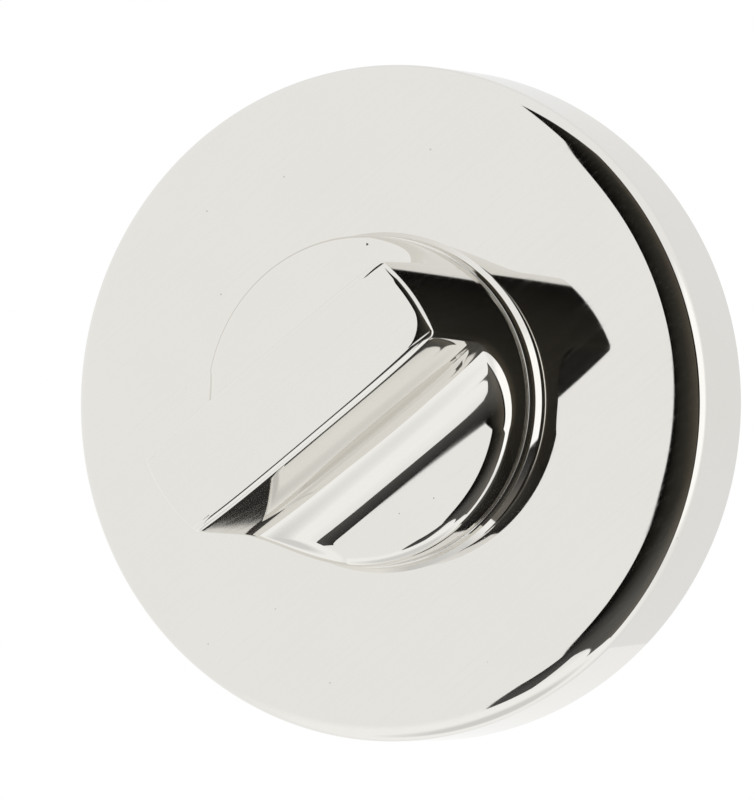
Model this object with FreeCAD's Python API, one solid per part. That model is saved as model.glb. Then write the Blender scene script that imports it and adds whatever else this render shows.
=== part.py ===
import FreeCAD, Part
import math
import os

os.makedirs("parts", exist_ok=True)

# Rose
rose_dia = 52.0
rose_height = 8.75
rose_face_roll = 2.45
rose_side_roll = 1.25
rose_roll_meet = 45.0
rose_rim_wall = 1.5
rose_face_wall = 1.8
rose_inside_round = 0.8
boss_height = 1.7
boss_root_out = 0.36
boss_root_up = 0.44
boss_lip_round = 0.12

# Thumb turn
turn_dia = 25.3
boss_margin = 0.06
foot_height = 5.65
grip_height = 19.1
grip_width = 7.6
grip_flare = 0.5
grip_angle = 37.5
scoop_round = 4.45
foot_edge_round = 2.2
foot_base_round = 0.45
grip_edge_round = 0.8
grip_end_round = 0.6
turn_gap = 0.1
stem_dia = 10.0
stem_flat = 8.2
stem_tail = 1.2

# Spindle and its pin
spindle_square = 5.0
spindle_reach = 45.0
spindle_chamfer = 0.5
socket_fit = 0.03
socket_depth = 9.0
pin_dia = 2.0
pin_inset = 0.2

# Bearing, washers and circlip
bush_dia = 13.0
bush_flange_dia = 17.0
bush_flange = 1.0
run_fit = 0.04
slip = 0.02
glide_dia = 21.6
glide_recess = 0.5
spring_dia = 15.6
spring_thick = 0.4
spring_rise = 0.9
spring_bore_clear = 0.2
stop_thick = 1.2
stop_hub_dia = 16.0
stop_tab_reach = 2.6
stop_tab_width = 4.0
stop_clear = 0.3
stop_touch = 0.05
stop_quarter = 90.0
clip_thick = 1.0
clip_groove_depth = 0.25
clip_groove_slack = 0.1
clip_band = 1.5
clip_gap = 3.0
clip_ear_dia = 2.6
clip_ear_hole = 1.2
clip_ear_overlap = 0.2

# Mounting plate and its screws
plate_web = 2.6
plate_rim = 2.0
plate_hub_wall = 1.6
bolt_hole_dia = 4.3
bolt_spacing = 38.0
bolt_boss_dia = 8.0
screw_circle_dia = 36.0
screw_count = 4
screw_first = 45.0
screw_head_dia = 7.0
screw_shank_dia = 3.5
screw_hole_dia = 3.9
screw_reach = 16.0
screw_point = 3.5
screw_tip_dia = 0.3
recess_width = 0.9
recess_span = 3.6
recess_depth = 1.3

# How far a cutting shape runs past what it cuts
over = 1.0

# Levels counted outwards from the door
rose_r = rose_dia / 2
rim_r = rose_r - rose_rim_wall
turn_r = turn_dia / 2
boss_r = turn_r + boss_margin
stem_r = stem_dia / 2
bush_r = bush_dia / 2
face_in = rose_height - rose_face_wall
boss_top = rose_height + boss_height
recess_floor = boss_top - glide_recess
foot_base = boss_top + turn_gap
foot_top = rose_height + foot_height
grip_top = rose_height + grip_height
flange_back = face_in - bush_flange
stop_top = flange_back - slip - spring_rise
stop_back = stop_top - stop_thick
clip_back = stop_back - clip_thick
stem_end = clip_back - stem_tail
plate_front = stop_top + stop_clear
window_floor = stop_back - stop_clear
socket_end = foot_base + socket_depth
pin_level = (flange_back + recess_floor) / 2
groove_r = stem_r - clip_groove_depth
hub_in_r = stop_hub_dia / 2 + stop_clear
window_r = stop_hub_dia / 2 + stop_tab_reach + stop_clear
hub_out_r = window_r + plate_hub_wall
spindle_half = spindle_square / 2
socket_half = spindle_half + socket_fit

origin = FreeCAD.Vector(0, 0, 0)
x_axis = FreeCAD.Vector(1, 0, 0)
z_axis = FreeCAD.Vector(0, 0, 1)


def vec(x, y, z):
    return FreeCAD.Vector(x, y, z)


def cyl(radius, low, high, x=0.0, y=0.0):
    return Part.makeCylinder(radius, high - low, vec(x, y, low), z_axis)


def tube(outer, inner, low, high):
    return cyl(outer, low, high).cut(cyl(inner, low - over, high + over))


def block(x0, x1, y0, y1, z0, z1):
    return Part.makeBox(x1 - x0, y1 - y0, z1 - z0, vec(x0, y0, z0))


def turned(shape, angle):
    copy = shape.copy()
    copy.rotate(origin, z_axis, angle)
    return copy


def outline(steps):
    # A step is a point to go straight to, or a middle point and an end point of an arc
    edges = []
    last = steps[0]
    for step in steps[1:] + [steps[0]]:
        if len(step) == 2:
            end = step
            edges.append(Part.makeLine(vec(last[0], 0, last[1]), vec(end[0], 0, end[1])))
        else:
            end = (step[2], step[3])
            arc = Part.Arc(vec(last[0], 0, last[1]), vec(step[0], 0, step[1]), vec(end[0], 0, end[1]))
            edges.append(arc.toShape())
        last = end
    return Part.Face(Part.Wire(edges))


def lathe(steps):
    return outline(steps).revolve(origin, z_axis, 360)


def arc_step(cx, cz, radius, start, end):
    middle = math.radians((start + end) / 2)
    last = math.radians(end)
    return (cx + radius * math.cos(middle), cz + radius * math.sin(middle),
            cx + radius * math.cos(last), cz + radius * math.sin(last))


def save(shape, name):
    # The door is behind the rose, so the turning axis is laid along -Y
    placed = shape.copy()
    placed.rotate(origin, x_axis, 90)
    placed.exportStep(os.path.join("parts", name + ".step"))
    print(name, len(placed.Solids), round(placed.Volume, 2), placed.isValid())


# Cover rose: wide roll off the face into a tight one at the side, boss with a bevelled root, recess
meet = math.radians(rose_roll_meet)
face_roll_r = rose_r - rose_side_roll - (rose_face_roll - rose_side_roll) * math.cos(meet)
side_roll_top = rose_height - rose_face_roll + (rose_face_roll - rose_side_roll) * math.sin(meet)
lip = boss_lip_round
inside = rose_inside_round
cover = lathe([
    (rose_r, 0.0),
    (rose_r, side_roll_top),
    arc_step(rose_r - rose_side_roll, side_roll_top, rose_side_roll, 0, rose_roll_meet),
    arc_step(face_roll_r, rose_height - rose_face_roll, rose_face_roll, rose_roll_meet, 90),
    (boss_r + boss_root_out, rose_height),
    (boss_r, rose_height + boss_root_up),
    (boss_r, boss_top - lip),
    arc_step(boss_r - lip, boss_top - lip, lip, 0, 90),
    (glide_dia / 2 + slip, boss_top),
    (glide_dia / 2 + slip, recess_floor),
    (bush_r, recess_floor),
    (bush_r, face_in),
    (rim_r - inside, face_in),
    arc_step(rim_r - inside, face_in - inside, inside, 90, 0),
    (rim_r, 0.0),
])
save(cover, "cover_rose")

# Mounting plate: rim, web, hub with two stop windows, bosses for the through bolts, countersunk holes
plate = cyl(rim_r, 0, plate_front)
pocket = tube(rim_r - plate_rim, hub_out_r, plate_web, plate_front + over)
plate = plate.cut(pocket)
for side in (-1, 1):
    plate = plate.fuse(cyl(bolt_boss_dia / 2, 0, plate_front, side * bolt_spacing / 2))
plate = plate.cut(cyl(hub_in_r, -over, plate_front + over))
window_half = stop_tab_width / 2 + stop_touch
swept = block(0, window_r, -window_half, window_half, window_floor, plate_front + over)
window_high = plate_front + over - window_floor
pie = Part.makeCylinder(window_r, window_high, vec(0, 0, window_floor), z_axis, stop_quarter)
window = swept.fuse(turned(swept, stop_quarter)).fuse(pie)
window = window.common(cyl(window_r, window_floor, plate_front + over))
plate = plate.cut(window).cut(turned(window, 180))
for side in (-1, 1):
    plate = plate.cut(cyl(bolt_hole_dia / 2, -over, plate_front + over, side * bolt_spacing / 2))
head_r = screw_head_dia / 2
shank_r = screw_shank_dia / 2
hole_r = screw_hole_dia / 2
sink = Part.makeCone(head_r, 0, head_r, vec(screw_circle_dia / 2, 0, plate_web), vec(0, 0, -1))
sink = sink.fuse(cyl(hole_r, -over, plate_web + over, screw_circle_dia / 2))
for k in range(screw_count):
    plate = plate.cut(turned(sink, screw_first + 360.0 / screw_count * k))
save(plate.removeSplitter(), "mounting_plate")

# Wood screws: countersunk heads flush with the web, plain shanks, points behind the door plane
screw = Part.makeCone(head_r, shank_r, head_r - shank_r, vec(0, 0, plate_web), vec(0, 0, -1))
point_start = screw_point - screw_reach
screw = screw.fuse(cyl(shank_r, point_start, plate_web - head_r + shank_r))
tip = Part.makeCone(shank_r, screw_tip_dia / 2, screw_point, vec(0, 0, point_start), vec(0, 0, -1))
screw = screw.fuse(tip)
slot = block(-recess_span / 2, recess_span / 2, -recess_width / 2, recess_width / 2,
             plate_web - recess_depth, plate_web + over)
screw = screw.cut(slot).cut(turned(slot, 90)).removeSplitter()
screw.translate(vec(screw_circle_dia / 2, 0, 0))
screws = Part.makeCompound([turned(screw, screw_first + 360.0 / screw_count * k) for k in range(screw_count)])
save(screws, "wood_screws")

# Thumb turn: blank turned round, both sides milled away with a wide root round, edges buffed
blank = cyl(turn_r, foot_base, grip_top)
top_half = grip_width / 2
foot_half = top_half + grip_flare
far = turn_dia
wall_rise = grip_top - foot_top - scoop_round
scoop = outline([
    (top_half - over * grip_flare / wall_rise, grip_top + over),
    (foot_half, foot_top + scoop_round),
    arc_step(foot_half + scoop_round, foot_top + scoop_round, scoop_round, 180, 270),
    (far, foot_top),
    (far, grip_top + over),
])
scoop.translate(vec(0, -far, 0))
scoop = scoop.extrude(vec(0, 2 * far, 0))
blank = blank.cut(scoop).cut(turned(scoop, 180))


def edge_rounds(shape):
    # Narrow rounds on the grip, opening out along the scoops to the wide round of the foot
    picks = []
    near = 0.01
    for index, line in enumerate(shape.Edges):
        box = line.BoundBox
        first = line.valueAt(line.FirstParameter)
        middle = line.valueAt((line.FirstParameter + line.LastParameter) / 2)
        on_wall = abs(math.hypot(middle.x, middle.y) - turn_r) < near
        if box.ZMin > grip_top - near:
            sizes = (grip_edge_round, grip_edge_round)
        elif on_wall and box.ZMax < foot_base + near:
            sizes = (foot_base_round, foot_base_round)
        elif on_wall and box.ZMin > foot_top - near and box.ZMax < foot_top + near:
            sizes = (foot_edge_round, foot_edge_round)
        elif on_wall and box.ZMin > foot_top + near:
            sizes = (grip_end_round, grip_end_round)
        elif on_wall and box.ZMin > foot_base + near:
            rising = first.z < middle.z
            sizes = (foot_edge_round, grip_end_round) if rising else (grip_end_round, foot_edge_round)
        else:
            continue
        picks.append((index + 1, sizes[0], sizes[1]))
    return picks


sheet = FreeCAD.newDocument("turn")
raw = sheet.addObject("Part::Feature", "raw")
raw.Shape = blank
buffed = sheet.addObject("Part::Fillet", "buffed")
buffed.Base = raw
buffed.Edges = edge_rounds(blank)
sheet.recompute()
turn = buffed.Shape.copy()

# Stem behind the foot: plain for the bush, two flats for the stop washer, a groove for the circlip
stem = cyl(stem_r, stem_end, foot_base)
flat_half = stem_flat / 2
for side in (0, 180):
    flat = block(-stem_dia, stem_dia, flat_half, stem_dia, stem_end - over, stop_top + slip)
    stem = stem.cut(turned(flat, side))
stem = stem.cut(tube(stem_dia, groove_r, clip_back, stop_back + clip_groove_slack))
turn = turn.fuse(stem)
turn = turn.cut(block(-socket_half, socket_half, -socket_half, socket_half, stem_end - over, socket_end))
pin_hole = Part.makeCylinder(pin_dia / 2, 2 * stem_dia, vec(0, -stem_dia, pin_level), vec(0, 1, 0))
turn = turn.cut(pin_hole.common(cyl(stem_r + over, stem_end, foot_base)))
save(turned(turn, grip_angle - 90), "thumb_turn")

# Square spindle with eased corners, cross-drilled for its pin
bar = block(-spindle_half, spindle_half, -spindle_half, spindle_half, -spindle_reach, socket_end)
ends = [e for e in bar.Edges if e.BoundBox.ZMax < -spindle_reach + 0.01]
bar = bar.makeChamfer(spindle_chamfer, ends)
bar = bar.cut(pin_hole)
save(turned(bar, grip_angle - 90), "spindle")

pin_half = stem_r - pin_inset
pin = Part.makeCylinder(pin_dia / 2, 2 * pin_half, vec(0, -pin_half, pin_level), vec(0, 1, 0))
save(turned(pin, grip_angle - 90), "spindle_pin")

# Flanged bush and glide washer
bush = tube(bush_r, stem_r + run_fit, flange_back, recess_floor)
bush = bush.fuse(tube(bush_flange_dia / 2, stem_r + run_fit, flange_back, face_in)).removeSplitter()
save(bush, "bearing_bush")
glide = tube(glide_dia / 2, stem_r + 2 * run_fit, recess_floor, foot_base - slip)
save(glide, "glide_washer")

# Dished spring washer, its inner edge on the stop washer
spring_in = stem_r + spring_bore_clear
spring_out = spring_dia / 2
spring = lathe([
    (spring_in, stop_top),
    (spring_in + spring_thick / 2, stop_top),
    (spring_out, stop_top + spring_rise - spring_thick),
    (spring_out, stop_top + spring_rise),
    (spring_out - spring_thick / 2, stop_top + spring_rise),
    (spring_in, stop_top + spring_thick),
])
save(spring, "spring_washer")

# Stop washer: keyed bore and two tabs
hub_r = stop_hub_dia / 2
tab_r = hub_r + stop_tab_reach
stop = cyl(hub_r, stop_back, stop_top)
tab = block(-tab_r, tab_r, -stop_tab_width / 2, stop_tab_width / 2, stop_back, stop_top)
stop = stop.fuse(tab.common(cyl(tab_r, stop_back, stop_top)))
bore = cyl(stem_r + socket_fit, stop_back - over, stop_top + over)
key = flat_half + socket_fit
bore = bore.common(block(-key, key, -stem_dia, stem_dia, stop_back - over, stop_top + over))
stop = stop.cut(bore).removeSplitter()
save(turned(stop, grip_angle), "stop_washer")

# Circlip: open ring with two drilled ears
clip = tube(groove_r + clip_band, groove_r, clip_back, stop_back)
clip = clip.cut(block(0, stem_dia, -clip_gap / 2, clip_gap / 2, clip_back - over, stop_back + over))
ear_r = clip_ear_dia / 2
ear_x = groove_r + clip_band - clip_ear_overlap
ear_y = clip_gap / 2 + ear_r
for side in (-1, 1):
    clip = clip.fuse(cyl(ear_r, clip_back, stop_back, ear_x, side * ear_y))
for side in (-1, 1):
    clip = clip.cut(cyl(clip_ear_hole / 2, clip_back - over, stop_back + over, ear_x, side * ear_y))
clip = clip.cut(cyl(groove_r, clip_back - over, stop_back + over)).removeSplitter()
save(turned(clip, grip_angle + 90), "circlip")
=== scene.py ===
import math
import bmesh
import bpy
from mathutils import Matrix, Vector


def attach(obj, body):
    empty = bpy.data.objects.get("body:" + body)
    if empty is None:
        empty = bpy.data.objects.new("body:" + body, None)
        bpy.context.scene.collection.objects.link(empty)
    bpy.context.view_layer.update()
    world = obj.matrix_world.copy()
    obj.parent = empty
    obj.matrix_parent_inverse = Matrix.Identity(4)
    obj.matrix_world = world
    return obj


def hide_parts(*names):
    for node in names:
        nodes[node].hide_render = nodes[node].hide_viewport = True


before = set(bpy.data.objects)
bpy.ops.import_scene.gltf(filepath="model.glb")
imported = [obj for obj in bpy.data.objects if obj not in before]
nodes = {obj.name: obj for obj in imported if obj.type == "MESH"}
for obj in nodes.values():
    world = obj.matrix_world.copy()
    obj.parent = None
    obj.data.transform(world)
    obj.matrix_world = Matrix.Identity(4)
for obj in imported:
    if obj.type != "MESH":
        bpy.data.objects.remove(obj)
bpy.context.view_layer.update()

scene = bpy.context.scene
mm = 0.001
print("frame loaded:", len(nodes), "nodes")


# small helpers

def toWorld(x, up, out):
    return Vector((x * mm, -out * mm, up * mm))  # out is the distance from the door


def linearColour(code):
    rgb = [int(code[i:i + 2], 16) / 255 for i in (0, 2, 4)]
    return [c / 12.92 if c <= 0.04045 else ((c + 0.055) / 1.055) ** 2.4 for c in rgb] + [1.0]


def addNode(tree, kind, settings=None, links=None):
    node = tree.nodes.new(kind)
    for key, value in (settings or {}).items():
        if isinstance(key, str) and hasattr(node, key):
            setattr(node, key, value)
        else:
            node.inputs[key].default_value = value
    for key, source in (links or {}).items():
        output = getattr(source, "outputs", [source])[0]  # a node gives its first output
        tree.links.new(output, node.inputs[key])
    return node


def newMaterial(name):
    material = bpy.data.materials.new(name)
    material.use_nodes = True
    material.node_tree.nodes.clear()
    return material, material.node_tree


def openEdges(bm):
    return [edge for edge in bm.edges if edge.is_boundary]


def vertsOf(made):
    return [item for item in made if isinstance(item, bmesh.types.BMVert)]


def newPiece(name, bm, material):
    mesh = bpy.data.meshes.new(name)
    bm.to_mesh(mesh)
    bm.free()
    mesh.materials.append(material)
    piece = bpy.data.objects.new(name, mesh)
    scene.collection.objects.link(piece)
    print(name, len(mesh.polygons), "faces")
    return piece


meshLimits = {"merge": 0.0005, "sliver": 0.0002, "sharpAngle": 35}  # millimetres and degrees


def finishPiece(name, bm, material, body, replaced):
    bmesh.ops.remove_doubles(bm, verts=bm.verts, dist=meshLimits["merge"] * mm)
    bmesh.ops.dissolve_degenerate(bm, edges=bm.edges, dist=meshLimits["sliver"] * mm)
    bmesh.ops.recalc_face_normals(bm, faces=bm.faces)
    for face in bm.faces:
        face.smooth = True
    limit = math.radians(meshLimits["sharpAngle"])
    for edge in bm.edges:
        edge.smooth = len(edge.link_faces) == 2 and edge.calc_face_angle(0) < limit
    piece = newPiece(name, bm, material)
    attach(piece, body)
    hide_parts(replaced)
    return piece


# polished nickel: plated and buffed to a mirror, so the eye sees the studio in it, with a slow waviness of
# the plate, faint buffing lines, drawn coarser than real ones so that they show, and a thin haze and a few
# specks of dust in dark reflections, with sizes in millimetres

nickelLook = {
    "colour": "E6E4E0", "warmer": "E3E1DB", "roughness": (0.03, 0.055), "cloud": 9.0,
    "lineWidth": 0.25, "lineRun": 12.0, "lineTurn": 37.5, "lineRange": (0.5, 0.75),
    "wave": 6.0, "waveDepth": 0.0006,
    "dust": "F2F0EC", "dustSpacing": 2.6, "dustSize": 0.15, "dustRoughness": 0.7,
    "haze": (0.0, 0.018), "hazeRange": (0.45, 0.8)}


def polishedNickel():
    s = nickelLook
    material, tree = newMaterial("polishedNickel")
    place = addNode(tree, "ShaderNodeTexCoord").outputs["Object"]
    cloud = addNode(tree, "ShaderNodeTexNoise", {"Scale": 1 / (s["cloud"] * mm)}, {"Vector": place})
    tint = addNode(tree, "ShaderNodeMix", {
        "data_type": "RGBA", 6: linearColour(s["colour"]), 7: linearColour(s["warmer"])}, {0: cloud})
    width, run = s["lineWidth"] * mm, s["lineRun"] * mm
    drawn = addNode(tree, "ShaderNodeMapping", {
        "vector_type": "TEXTURE", "Rotation": (0, -math.radians(s["lineTurn"]), 0),
        "Scale": (run, width, width)}, {"Vector": place})
    lines = addNode(tree, "ShaderNodeTexNoise", {"Scale": 1.0, "Detail": 1.0}, {"Vector": drawn})
    buffed = addNode(tree, "ShaderNodeMapRange", dict(enumerate(s["lineRange"] + s["roughness"], 1)), {
        0: lines})
    specks = addNode(tree, "ShaderNodeTexVoronoi", {
        "Scale": 1 / (s["dustSpacing"] * mm)}, {"Vector": place})
    dust = addNode(tree, "ShaderNodeMath", {
        "operation": "LESS_THAN", 1: s["dustSize"] / s["dustSpacing"] / 2}, {0: specks})
    colour = addNode(tree, "ShaderNodeMix", {
        "data_type": "RGBA", 7: linearColour(s["dust"])}, {0: dust, 6: tint.outputs[2]})
    haze = addNode(tree, "ShaderNodeMapRange", dict(enumerate(s["hazeRange"] + s["haze"], 1)), {0: lines})
    covered = addNode(tree, "ShaderNodeMath", {"operation": "MAXIMUM"}, {0: dust, 1: haze})
    bare = addNode(tree, "ShaderNodeMath", {"operation": "SUBTRACT", 0: 1.0}, {1: covered})
    dull = addNode(tree, "ShaderNodeMath", {"operation": "MULTIPLY", 1: s["dustRoughness"]}, {0: dust})
    rough = addNode(tree, "ShaderNodeMath", {"operation": "MAXIMUM"}, {0: buffed, 1: dull})
    wave = addNode(tree, "ShaderNodeTexNoise", {
        "Scale": 1 / (s["wave"] * mm), "Detail": 0.0}, {"Vector": place})
    bump = addNode(tree, "ShaderNodeBump", {"Distance": s["waveDepth"] * mm}, {"Height": wave})
    shader = addNode(tree, "ShaderNodeBsdfPrincipled", {}, {
        "Base Color": colour.outputs[2], "Metallic": bare, "Roughness": rough, "Normal": bump})
    addNode(tree, "ShaderNodeOutputMaterial", {}, {"Surface": shader})
    return material


# finishes of the hidden pieces: patches of a few tints and a grit, drawn coarse enough to show, with sizes
# in millimetres

finishRanges = {"tintStops": (0.3, 0.5, 0.7), "gritRange": (0.35, 0.65), "detail": 3.0}
finishLooks = {
    # zinc alloy as it left the mould: dull grey with darker flow patches and a sandy skin
    "castZinc": {"tints": ("787B7E", "828588", "8B8D90"), "roughness": (0.4, 0.62), "patch": 1.6,
                 "grit": 0.35, "gritDepth": 0.02, "shader": {"Metallic": 0.9}},
    # undyed nylon, moulded: milky and a little translucent, with a satin skin
    "naturalNylon": {"tints": ("E0DBCD", "E9E6DB", "EDEAE2"), "roughness": (0.36, 0.5), "patch": 6.0,
                     "grit": 0.4, "gritDepth": 0.006,
                     "shader": {"IOR": 1.53, "Subsurface Weight": 0.2, "Subsurface Scale": 0.001}},
    # spring steel, hardened and blackened: near black with blue and brown oxide clouds
    "blackenedSpringSteel": {"tints": ("262422", "2B2C2F", "363A42"), "roughness": (0.26, 0.45),
                             "patch": 1.8, "grit": 0.3, "gritDepth": 0.004, "shader": {"Metallic": 0.95}},
    # steel with bright zinc plate: pale and bluish, with faint straw tints where the plate is thicker
    "brightZincPlate": {"tints": ("C2C7CB", "C9CCCE", "CECCC5"), "roughness": (0.2, 0.3), "patch": 3.0,
                        "grit": 0.3, "gritDepth": 0.002, "shader": {"Metallic": 1.0}}}


def hiddenFinish(name):
    s = finishLooks[name] | finishRanges
    material, tree = newMaterial(name)
    place = addNode(tree, "ShaderNodeTexCoord").outputs["Object"]
    patch = addNode(tree, "ShaderNodeTexNoise", {
        "Scale": 1 / (s["patch"] * mm), "Detail": s["detail"]}, {"Vector": place})
    tints = addNode(tree, "ShaderNodeValToRGB", {}, {0: patch})
    stops = tints.color_ramp.elements
    stops.new(s["tintStops"][1])
    for stop, position, code in zip(stops, s["tintStops"], s["tints"]):
        stop.position, stop.color = position, linearColour(code)
    grit = addNode(tree, "ShaderNodeTexNoise", {
        "Scale": 1 / (s["grit"] * mm), "Detail": s["detail"]}, {"Vector": place})
    rough = addNode(tree, "ShaderNodeMapRange", dict(enumerate(s["gritRange"] + s["roughness"], 1)), {
        0: grit})
    bump = addNode(tree, "ShaderNodeBump", {"Distance": s["gritDepth"] * mm}, {"Height": grit})
    shader = addNode(tree, "ShaderNodeBsdfPrincipled", s["shader"], {
        "Base Color": tints, "Roughness": rough, "Normal": bump})
    addNode(tree, "ShaderNodeOutputMaterial", {}, {"Surface": shader})
    return material


nickel = polishedNickel()
finishes = {name: hiddenFinish(name) for name in finishLooks}
wornBy = {"mounting_plate": "castZinc", "bearing_bush": "naturalNylon", "glide_washer": "naturalNylon",
          "spring_washer": "blackenedSpringSteel", "circlip": "blackenedSpringSteel",
          "stop_washer": "brightZincPlate", "spindle": "brightZincPlate", "spindle_pin": "brightZincPlate"}
for node, finish in wornBy.items():
    for slot in nodes[node].material_slots:
        slot.material = finishes[finish]
print("finishes on", len(wornBy), "hidden pieces")


# cover rose: a shallow cup, spun from its section

roseSizes = {
    "radius": 26.0, "height": 8.74, "rollFace": 2.45, "rollSide": 1.25,
    "crownStart": 22.4, "crownLean": 1.8, "crownRound": 70.0,
    "bossRadius": 12.71, "bossHeight": 1.7, "rootOut": 0.36, "rootUp": 0.44, "rootRound": 0.15, "lip": 0.12,
    "recessRadius": 10.82, "recess": 0.5, "bore": 6.5,
    "faceWall": 1.8, "rimWall": 1.5, "insideRound": 0.8, "roundSteps": 24, "steps": 288}


def coverRose():
    s = roseSizes
    face, bossTop = s["height"], s["height"] + s["bossHeight"]
    inner, back = s["radius"] - s["rimWall"], s["height"] - s["faceWall"]
    # the rolled edge: the face falls away a little, then a wide round runs into a tight one at the side
    half = math.sin(math.pi / 4)  # the two rounds meet at 45 degrees
    meetRadius = s["radius"] - s["rollSide"] * (1 - half)
    meetOut = face - s["rollFace"] * (1 - half)
    cornerOut = meetOut + meetRadius - s["radius"]
    cornerRadius = meetRadius - (face - meetOut)
    fall = (cornerRadius - s["crownStart"]) * math.tan(math.radians(s["crownLean"]))
    corners = [
        (s["radius"], 0, 0), (s["radius"], cornerOut - fall, s["rollSide"]),
        (cornerRadius, face - fall, s["rollFace"]), (s["crownStart"], face, s["crownRound"]),
        (s["bossRadius"] + s["rootOut"], face, 0), (s["bossRadius"], face + s["rootUp"], s["rootRound"]),
        (s["bossRadius"], bossTop, s["lip"]), (s["recessRadius"], bossTop, 0),
        (s["recessRadius"], bossTop - s["recess"], 0), (s["bore"], bossTop - s["recess"], 0),
        (s["bore"], back, 0), (inner, back, s["insideRound"]), (inner, 0, 0)]
    bm = bmesh.new()
    made = [bm.verts.new(toWorld(radius, 0, out)) for radius, out, _ in corners]
    for a, b in zip(made, made[1:] + made[:1]):
        bm.edges.new((a, b))
    for k, vert in enumerate(made):
        size = corners[k][2]
        if size:
            before, here, after = (Vector(corners[(k + n) % len(corners)][:2]) for n in (-1, 0, 1))
            reach = size / math.tan((before - here).angle(after - here) / 2)
            bmesh.ops.bevel(bm, geom=[vert], offset=reach * mm, offset_type="OFFSET",
                            segments=s["roundSteps"], profile=0.5, affect="VERTICES", material=-1)
    bmesh.ops.spin(bm, geom=bm.verts[:] + bm.edges[:], cent=(0, 0, 0), axis=(0, -1, 0), angle=math.tau,
                   steps=s["steps"], use_merge=True)
    return finishPiece("coverRose", bm, nickel, "rose", "cover_rose")


coverRose()


# thumb turn: a round foot with both sides scooped away up to the grip, and the stem behind it

turnSizes = {
    "radius": 12.65, "base": 10.55, "floor": 14.4, "top": 27.84, "angle": 37.5,
    "halfWidth": 3.8, "flare": 0.2, "bow": 0.3, "scoop": 4.9, "floorLean": 2.5,
    "topEdge": 0.55, "sideEdge": 0.4, "edgeFade": 0.25, "cornerRound": 1.9,
    "rimIn": 1.2, "rimDown": 1.1, "rimSwell": 1.3, "baseEdge": 0.45, "baseSteps": 6,
    "topRows": 4, "cornerRows": 14, "edgeRows": 16, "wallRows": 16, "scoopRows": 48, "rimRows": 44,
    "endSteps": 24, "acrossSteps": 40, "halvings": 40, "shortestRow": 0.05, "merge": 0.004}
stemSizes = {
    "radius": 5.0, "flat": 4.1, "shoulder": 5.05, "grooveRadius": 4.75, "grooveFront": 3.93,
    "grooveBack": 2.83, "end": 1.63, "socket": 2.53, "socketEnd": 19.55}


def turnSection():
    # half section from the middle of the grip's top to the rim: place, lean of the outward direction,
    # the end round's reach inwards and downwards, how far the row follows the grip's bowed sides,
    # how much sooner the end round starts there
    s = turnSizes
    scoop, edge, side = s["scoop"], s["topEdge"], s["sideEdge"]
    wallAngle = math.pi / 2 - math.atan2(s["flare"], s["top"] - s["floor"] - scoop)
    flatEnd = s["halfWidth"] - edge * math.tan(wallAngle / 2)
    rows = []
    # buffing has worn the top corners round, so there the end round starts sooner
    corner = s["cornerRound"]
    for k in range(s["topRows"]):
        v = (flatEnd - corner) * k / s["topRows"]
        rows.append((v, s["top"], 0.0, edge, edge, v / flatEnd, 0))
    for k in range(s["cornerRows"]):
        a = math.pi / 2 * k / s["cornerRows"]
        v = flatEnd - corner + corner * math.sin(a)
        rows.append((v, s["top"], 0.0, edge, edge, v / flatEnd, corner * (1 - math.cos(a))))
    for k in range(s["edgeRows"] + 1):
        f = k / s["edgeRows"]
        a = wallAngle * f
        rows.append((flatEnd + edge * math.sin(a), s["top"] - edge + edge * math.cos(a), a,
                     edge, edge, 1, corner * (1 - f) ** 2))
    wallV, wallZ = rows[-1][:2]
    floorLean = math.radians(s["floorLean"])
    centreV, centreZ = s["halfWidth"] + s["flare"] + scoop, s["floor"] + scoop
    footV, footZ = centreV - scoop * math.sin(wallAngle), centreZ - scoop * math.cos(wallAngle)
    for k in range(1, s["wallRows"]):
        f = k / s["wallRows"]
        size = edge + (side - edge) * min(1, f / s["edgeFade"])
        rows.append((wallV + (footV - wallV) * f, wallZ + (footZ - wallZ) * f, wallAngle, size, size, 1, 0))
    for k in range(s["scoopRows"] + 1):
        f = k / s["scoopRows"]
        a = wallAngle + (floorLean - wallAngle) * f
        swell = s["rimSwell"] * math.sin(math.pi * f * f)
        rows.append((centreV - scoop * math.sin(a), centreZ - scoop * math.cos(a), a,
                     side + (s["rimIn"] - side) * f * f + swell,
                     side + (s["rimDown"] - side) * f * f + swell, 1, 0))
    floorV, floorZ = rows[-1][:2]
    reach = s["radius"] - s["rimIn"] * (1 - math.sin(floorLean))
    first = math.asin(floorV / reach)
    for k in range(1, s["rimRows"] + 1):
        v = reach * math.sin(first + (math.pi / 2 - first) * k / s["rimRows"])
        z = floorZ - (v - floorV) * math.tan(floorLean)
        rows.append((v, z, floorLean, s["rimIn"], s["rimDown"], (reach - v) / (reach - floorV), 0))
    return rows


def onRow(row, u):
    # the place and the outward direction at u along a row, the sides bow in mostly near the ends
    v, z, lean, _, _, follows, _ = row
    bend = turnSizes["bow"] * follows / turnSizes["radius"] ** 4
    slope = math.atan(4 * bend * u ** 3)
    place = Vector((u, v - math.copysign(bend * u ** 4, v), z))
    tilt = math.sin(lean)
    outward = Vector((abs(tilt) * math.sin(slope), tilt * math.cos(slope), math.cos(lean)))
    return place, outward


def endOfRow(row, inwards, sooner):
    # halves the span down to where the end round leaves the row
    s = turnSizes
    low, high = 0.0, s["radius"]
    for _ in range(s["halvings"]):
        middle = (low + high) / 2
        place, normal = onRow(row, middle)
        if (place - inwards * normal).xy.length < s["radius"] - inwards - sooner:
            low = middle
        else:
            high = middle
    return low if low > s["shortestRow"] else 0.0  # the last row shrinks to a point


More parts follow.
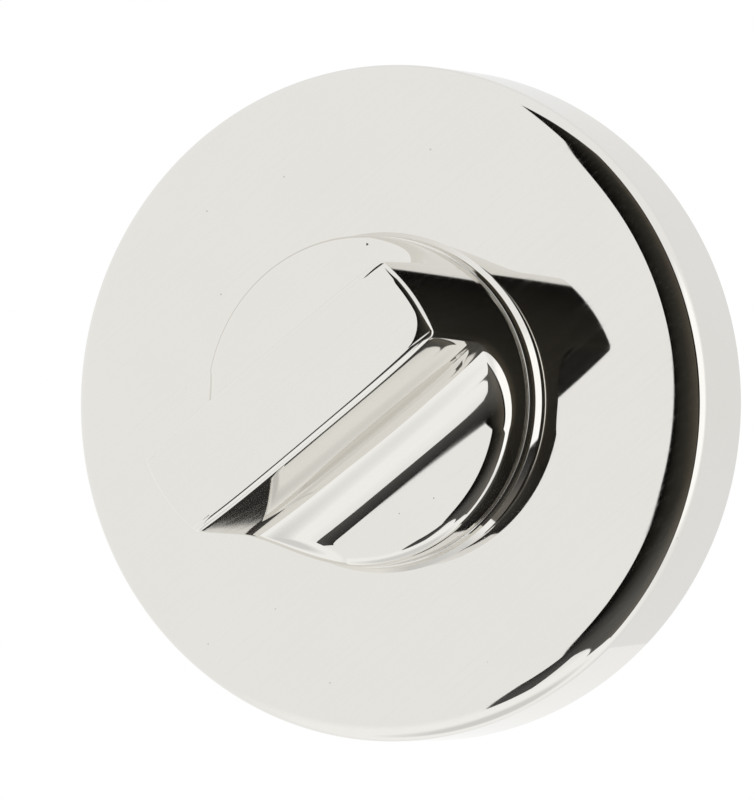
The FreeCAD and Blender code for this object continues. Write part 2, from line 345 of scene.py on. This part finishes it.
def turnStem(bm):
    # carries the foot's underside on as the stem, ring by ring, and ends in the square socket
    s = stemSizes
    level = turnSizes["base"]
    base = max(bm.faces, key=lambda face: len(face.verts))
    bmesh.ops.delete(bm, geom=[base], context="FACES_ONLY")
    wide, waist, uncut = s["radius"], s["grooveRadius"], s["radius"]
    rings = [(wide, level, uncut), (wide, s["shoulder"], uncut), (wide, s["shoulder"], s["flat"]),
             (wide, s["grooveFront"], s["flat"]), (waist, s["grooveFront"], s["flat"]),
             (waist, s["grooveBack"], s["flat"]), (wide, s["grooveBack"], s["flat"]),
             (wide, s["end"], s["flat"]), (0, s["end"], 0), (0, s["socketEnd"], 0)]
    for radius, z, flat in rings:
        made = bmesh.ops.extrude_edge_only(bm, edges=openEdges(bm))["geom"]
        for vert in vertsOf(made):
            way = vert.co.xy.normalized()
            if not radius:
                reach = s["socket"] / max(abs(way.x), abs(way.y))
            else:
                reach = flat / abs(way.x) if radius * abs(way.x) > flat else radius
            vert.co = (way.x * reach, way.y * reach, z)
    bmesh.ops.holes_fill(bm, edges=openEdges(bm), sides=0)


def thumbTurn():
    s = turnSizes
    half = turnSection()
    rows = [(-v, z, -lean, *rest) for v, z, lean, *rest in reversed(half[1:])] + half
    ends, across, radius = s["endSteps"], s["acrossSteps"], s["radius"]
    columns = across + 2 * ends + 1
    bm = bmesh.new()
    bmesh.ops.create_grid(bm, x_segments=columns - 1, y_segments=len(rows) - 1, size=1)
    order = sorted(bm.verts, key=lambda vert: (round(vert.co.y, 6), round(vert.co.x, 6)))
    for j, row in enumerate(rows):
        _, level, _, inwards, downwards, _, sooner = row
        low, last = endOfRow(row, inwards, sooner), endOfRow(row, inwards, 0)
        for i in range(columns):
            vert = order[j * columns + i]
            if ends <= i <= ends + across:
                vert.co = onRow(row, low * (2 * (i - ends) / across - 1))[0]
                continue
            f = max(ends - i, i - ends - across) / ends
            start, normal = onRow(row, low if i > ends else -low)
            place, facing = onRow(row, last if i > ends else -last)
            outward = ((place - inwards * facing) * Vector((1, 1, 0))).normalized()
            end = outward * radius
            end.z = level - downwards * normal.z
            along = (end - start) - (end - start).dot(normal) * normal
            corner = start + along * ((end - start).dot(outward) / along.dot(outward))
            pull = math.cos(normal.angle(outward) / 2)
            parts = ((1 - f) ** 2, 2 * pull * f * (1 - f), f * f)
            vert.co = (parts[0] * start + parts[1] * corner + parts[2] * end) / sum(parts)
    bmesh.ops.remove_doubles(bm, verts=bm.verts, dist=s["merge"])
    wall = bmesh.ops.extrude_edge_only(bm, edges=openEdges(bm))["geom"]
    for vert in vertsOf(wall):
        vert.co.z = s["base"]
    under = bmesh.ops.holes_fill(bm, edges=openEdges(bm), sides=0)["faces"]
    bmesh.ops.bevel(bm, geom=under[0].edges[:], offset=s["baseEdge"], segments=s["baseSteps"], profile=0.5,
                    affect="EDGES", material=-1)
    turnStem(bm)
    turned = Matrix.Rotation(math.radians(s["angle"]), 4, "Z")
    stood = Matrix(((mm, 0, 0, 0), (0, 0, -mm, 0), (0, mm, 0, 0), (0, 0, 0, 1)))
    bmesh.ops.transform(bm, matrix=stood @ turned, verts=bm.verts)
    return finishPiece("thumbTurn", bm, nickel, "turn", "thumb_turn")


thumbTurn()


# wood screws: countersunk, cross recessed, threaded up to the head's neck

screwSizes = {
    "circle": 18.0, "first": 45.0, "count": 4, "head": 3.5, "headTop": 2.6, "neck": 1.3, "neckTop": 0.4,
    "threadTop": -0.4, "core": 1.2, "crest": 1.75, "pitch": 1.5, "toothFoot": 0.36,
    "tip": -16.0, "pointLength": 3.5, "tipRadius": 0.1, "rowsPerTurn": 16, "steps": 32,
    "crossHalf": 1.8, "crossWidth": 0.45, "crossDepth": 1.3, "crossTaper": 0.55}


def woodScrews():
    s = screwSizes
    rows = round((s["neckTop"] - s["tip"]) / s["pitch"] * s["rowsPerTurn"])
    profile = [(s["head"], s["headTop"])]
    profile += [(s["neck"], s["neckTop"] + (s["tip"] - s["neckTop"]) * k / rows) for k in range(rows + 1)]
    bm = bmesh.new()
    made = [bm.verts.new(toWorld(radius, 0, out)) for radius, out in profile]
    for a, b in zip(made, made[1:]):
        bm.edges.new((a, b))
    bmesh.ops.spin(bm, geom=bm.verts[:] + bm.edges[:], cent=(0, 0, 0), axis=(0, -1, 0), angle=math.tau,
                   steps=s["steps"], use_merge=True)
    for vert in bm.verts:
        x, out, up = vert.co.x / mm, -vert.co.y / mm, vert.co.z / mm
        if out <= s["neckTop"] + meshLimits["merge"]:
            point = min(1, (out - s["tip"]) / s["pointLength"])
            core = s["tipRadius"] + (s["core"] - s["tipRadius"]) * point
            grown = min(1, max(0, (s["threadTop"] - out) / s["pitch"])) * max(point, 0)
            phase = (out / s["pitch"] - math.atan2(up, x) / math.tau) % 1
            tooth = max(0, 1 - abs(phase - 0.5) * s["pitch"] / s["toothFoot"])
            smooth = s["neck"] if out > s["threadTop"] else core
            radius = max(smooth, core + (s["crest"] - s["core"]) * grown * tooth)
            vert.co *= Vector((radius / math.hypot(x, up), 1, radius / math.hypot(x, up)))
    rims = openEdges(bm)
    head = [edge for edge in rims if edge.verts[0].co.y < 0]
    bmesh.ops.holes_fill(bm, edges=[edge for edge in rims if edge not in head], sides=0)
    # the cross recess, sunk into the head's flat top
    wide, slim = s["crossHalf"], s["crossWidth"]
    arm = [(wide, -slim), (wide, slim), (slim, slim)]
    turns = ((1, 0), (0, 1), (-1, 0), (0, -1))
    outline = [(x * c - z * n, x * n + z * c) for c, n in turns for x, z in arm]
    loop = [bm.verts.new(toWorld(x, up, s["headTop"])) for x, up in outline]
    cross = [bm.edges.new((a, b)) for a, b in zip(loop, loop[1:] + loop[:1])]
    bmesh.ops.triangle_fill(bm, edges=head + cross, use_beauty=True)
    sunk = bmesh.ops.extrude_edge_only(bm, edges=cross)["geom"]
    for vert in vertsOf(sunk):
        vert.co *= Vector((s["crossTaper"], 1, s["crossTaper"]))
        vert.co.y += s["crossDepth"] * mm
    bmesh.ops.holes_fill(bm, edges=openEdges(bm), sides=0)
    first = math.radians(s["first"])
    aside = toWorld(s["circle"] * math.cos(first), s["circle"] * math.sin(first), 0)
    bmesh.ops.translate(bm, verts=bm.verts, vec=aside)
    more = s["count"] - 1
    bmesh.ops.spin(bm, geom=bm.verts[:] + bm.edges[:] + bm.faces[:], cent=(0, 0, 0), axis=(0, -1, 0),
                   angle=math.tau * more / s["count"], steps=more, use_duplicate=True)
    return finishPiece("woodScrews", bm, finishes["brightZincPlate"], "rose", "wood_screws")


woodScrews()


# studio: a light tent with a dark opening around the camera, edges in degrees of azimuth and height, each
# edge or shade as from, to, value at from, value at to; rightGlow and rearShade go by the direction's x and y

tent = {
    "leftEdge": (0, 43, -17.5, 7.2), "lowLeft": (-21, -25, 4, -9.5), "rightEdge": (-60, 60, 95, 53),
    "lowerEdge": (9, 45, -37.5, -59.2), "lowStep": (3, 8, -47, -37.5), "upperEdge": (60.7, 59.3, 0, 1),
    "soft": 0.28,  # half the width of the opening's blurred border
    "darkTones": ((0.0, "0A0908"), (0.5, "35332E"), (0.9, "565047"), (0.94, "12100E")),
    "leftShade": (-7, 0, 1.0, 0.82), "highShade": (0, 14, 1.0, 0.8), "rightGlow": (0.8, 0.9, 1.0, 1.26),
    "rearShade": (0.42, 0.87, 0.0, -0.11), "floorGlow": (-40, -52, 0.0, 0.09),
    "nadirShade": (-64, -76, 0.0, -0.3), "lowGlow": (-15, -38, 0.0, 0.07)}


def studioWorld():
    world = bpy.data.worlds.new("lightTent")
    scene.world = world
    world.use_nodes = True
    tree = world.node_tree
    tree.nodes.clear()
    direction = addNode(tree, "ShaderNodeTexCoord").outputs["Generated"]
    way = addNode(tree, "ShaderNodeSeparateXYZ", {}, {0: direction})
    front = addNode(tree, "ShaderNodeMath", {"operation": "MULTIPLY", 1: -1.0}, {0: way.outputs["Y"]})
    turned = addNode(tree, "ShaderNodeMath", {"operation": "ARCTAN2"}, {0: way.outputs["X"], 1: front})
    risen = addNode(tree, "ShaderNodeMath", {"operation": "ARCSINE"}, {0: way.outputs["Z"]})
    azimuth = addNode(tree, "ShaderNodeMath", {"operation": "DEGREES"}, {0: turned})
    height = addNode(tree, "ShaderNodeMath", {"operation": "DEGREES"}, {0: risen})
    steep = addNode(tree, "ShaderNodeMath", {"operation": "ABSOLUTE"}, {0: height})
    # what each edge and shade of the tent is at a direction
    sources = {"leftEdge": steep, "rightEdge": height, "lowerEdge": azimuth, "highShade": height,
               "rightGlow": way, "rearShade": way.outputs["Y"], "floorGlow": height, "nadirShade": height,
               "lowLeft": height, "lowStep": azimuth, "lowGlow": height}
    at = {name: addNode(tree, "ShaderNodeMapRange", dict(enumerate(tent[name], 1)), {0: source})
          for name, source in sources.items()}
    leftmost = addNode(tree, "ShaderNodeMath", {"operation": "MINIMUM"}, {
        0: at["leftEdge"], 1: at["lowLeft"]})
    lowest = addNode(tree, "ShaderNodeMath", {"operation": "MINIMUM"}, {
        0: at["lowerEdge"], 1: at["lowStep"]})
    left = addNode(tree, "ShaderNodeMath", {"operation": "SUBTRACT"}, {0: azimuth, 1: leftmost})
    right = addNode(tree, "ShaderNodeMath", {"operation": "SUBTRACT"}, {0: at["rightEdge"], 1: azimuth})
    lower = addNode(tree, "ShaderNodeMath", {"operation": "SUBTRACT"}, {0: height, 1: lowest})
    smooth = {"interpolation_type": "SMOOTHSTEP", 1: -tent["soft"], 2: tent["soft"], 3: 0.0, 4: 1.0}
    opening = addNode(tree, "ShaderNodeMapRange", dict(enumerate(tent["upperEdge"], 1)), {0: height})
    for inside in (left, right, lower):
        within = addNode(tree, "ShaderNodeMapRange", smooth, {0: inside})
        opening = addNode(tree, "ShaderNodeMath", {"operation": "MULTIPLY"}, {0: opening, 1: within})
    # the dark opening's own tones, from its left edge to its right edge
    width = addNode(tree, "ShaderNodeMath", {"operation": "ADD"}, {0: left, 1: right})
    share = addNode(tree, "ShaderNodeMath", {"operation": "DIVIDE"}, {0: left, 1: width})
    tones = addNode(tree, "ShaderNodeValToRGB", {}, {0: share})
    stops = tones.color_ramp.elements
    for position, _ in tent["darkTones"][2:]:
        stops.new(position)
    for stop, (position, code) in zip(stops, tent["darkTones"]):
        stop.position, stop.color = position, linearColour(code)
    leftShade = addNode(tree, "ShaderNodeMapRange", dict(enumerate(tent["leftShade"], 1)), {0: left})
    before = addNode(tree, "ShaderNodeMath", {"operation": "MULTIPLY"}, {0: leftShade, 1: at["highShade"]})
    beside = addNode(tree, "ShaderNodeMath", {"operation": "ADD"}, {0: at["rightGlow"], 1: at["rearShade"]})
    wall = addNode(tree, "ShaderNodeMath", {"operation": "MAXIMUM"}, {0: before, 1: beside})
    below = addNode(tree, "ShaderNodeMath", {"operation": "ADD"}, {0: at["floorGlow"], 1: at["nadirShade"]})
    light = addNode(tree, "ShaderNodeMath", {"operation": "ADD"}, {0: wall, 1: below})
    dark = addNode(tree, "ShaderNodeMix", {"data_type": "RGBA", "blend_type": "ADD", 0: 1.0}, {
        6: tones, 7: at["lowGlow"]})
    tone = addNode(tree, "ShaderNodeMix", {"data_type": "RGBA"}, {0: opening, 6: light, 7: dark.outputs[2]})
    cloth = addNode(tree, "ShaderNodeBackground", {}, {"Color": tone.outputs[2]})
    white = addNode(tree, "ShaderNodeBackground", {"Color": (1, 1, 1, 1)})
    path = addNode(tree, "ShaderNodeLightPath")
    seen = addNode(tree, "ShaderNodeMixShader", {}, {0: path.outputs["Is Camera Ray"], 1: cloth, 2: white})
    addNode(tree, "ShaderNodeOutputWorld", {}, {"Surface": seen})
    print("light tent hung")


studioWorld()

floorLook = {"colour": "ECEAE6", "paler": "F0EFEC", "patch": 60.0, "roughness": 0.8,
             "size": 8000.0, "drop": 900.0}
lampLook = {"power": 1.5, "size": 700.0, "x": -500.0, "up": 900.0, "out": 600.0}


def studioFloor():
    s = floorLook
    material, tree = newMaterial("palePaper")  # matt paper, a faint cloudiness
    place = addNode(tree, "ShaderNodeTexCoord").outputs["Object"]
    cloud = addNode(tree, "ShaderNodeTexNoise", {"Scale": 1 / (s["patch"] * mm)}, {"Vector": place})
    tint = addNode(tree, "ShaderNodeMix", {
        "data_type": "RGBA", 6: linearColour(s["colour"]), 7: linearColour(s["paler"])}, {0: cloud})
    shader = addNode(tree, "ShaderNodeBsdfPrincipled", {"Roughness": s["roughness"]}, {
        "Base Color": tint.outputs[2]})
    addNode(tree, "ShaderNodeOutputMaterial", {}, {"Surface": shader})
    bm = bmesh.new()
    bmesh.ops.create_grid(bm, x_segments=1, y_segments=1, size=s["size"] / 2 * mm)
    bmesh.ops.translate(bm, verts=bm.verts, vec=(0, 0, -s["drop"] * mm))
    floor = newPiece("floor", bm, material)
    floor.visible_glossy = False  # the metal goes on showing the tent


def studioLamp():
    s = lampLook
    data = bpy.data.lights.new("softBox", "AREA")
    data.energy, data.size = s["power"], s["size"] * mm
    lamp = bpy.data.objects.new("softBox", data)
    scene.collection.objects.link(lamp)
    lamp.location = toWorld(s["x"], s["up"], s["out"])
    lamp.rotation_mode = "QUATERNION"
    lamp.rotation_quaternion = (-lamp.location).to_track_quat("-Z", "Y")
    lamp.visible_glossy = False
    print("soft box hung")


studioFloor()
studioLamp()

# camera: below and to the right of the rose's middle, which lies at a pixel of the 753 by 800 picture
studio = {"azimuth": 22.4, "elevation": -1.4, "distance": 900.0, "pixelsPerMm": 13.03, "aimOut": 8.0,
          "middle": (387.0, 402.75), "picture": (753, 800), "sensor": 36.0, "clip": (0.01, 50.0)}


def studioCamera():
    s = studio
    a, e = math.radians(s["azimuth"]), math.radians(s["elevation"])
    back = Vector((math.sin(a) * math.cos(e), -math.cos(a) * math.cos(e), math.sin(e)))
    right = Vector((math.cos(a), math.sin(a), 0))
    up = right.cross(-back)
    besides, below = ((m - p / 2) / s["pixelsPerMm"] * mm for m, p in zip(s["middle"], s["picture"]))
    data = bpy.data.cameras.new("camera")
    data.sensor_width = s["sensor"]
    data.lens = s["pixelsPerMm"] * s["distance"] / s["picture"][1] * s["sensor"]
    data.clip_start, data.clip_end = s["clip"]
    camera = bpy.data.objects.new("camera", data)
    scene.collection.objects.link(camera)
    camera.location = toWorld(0, 0, s["aimOut"]) - right * besides + up * below + back * s["distance"] * mm
    camera.rotation_mode = "QUATERNION"
    camera.rotation_quaternion = (-back).to_track_quat("-Z", "Y")
    scene.camera = camera
    print("camera placed")


studioCamera()
scene.view_settings.view_transform = "Standard"
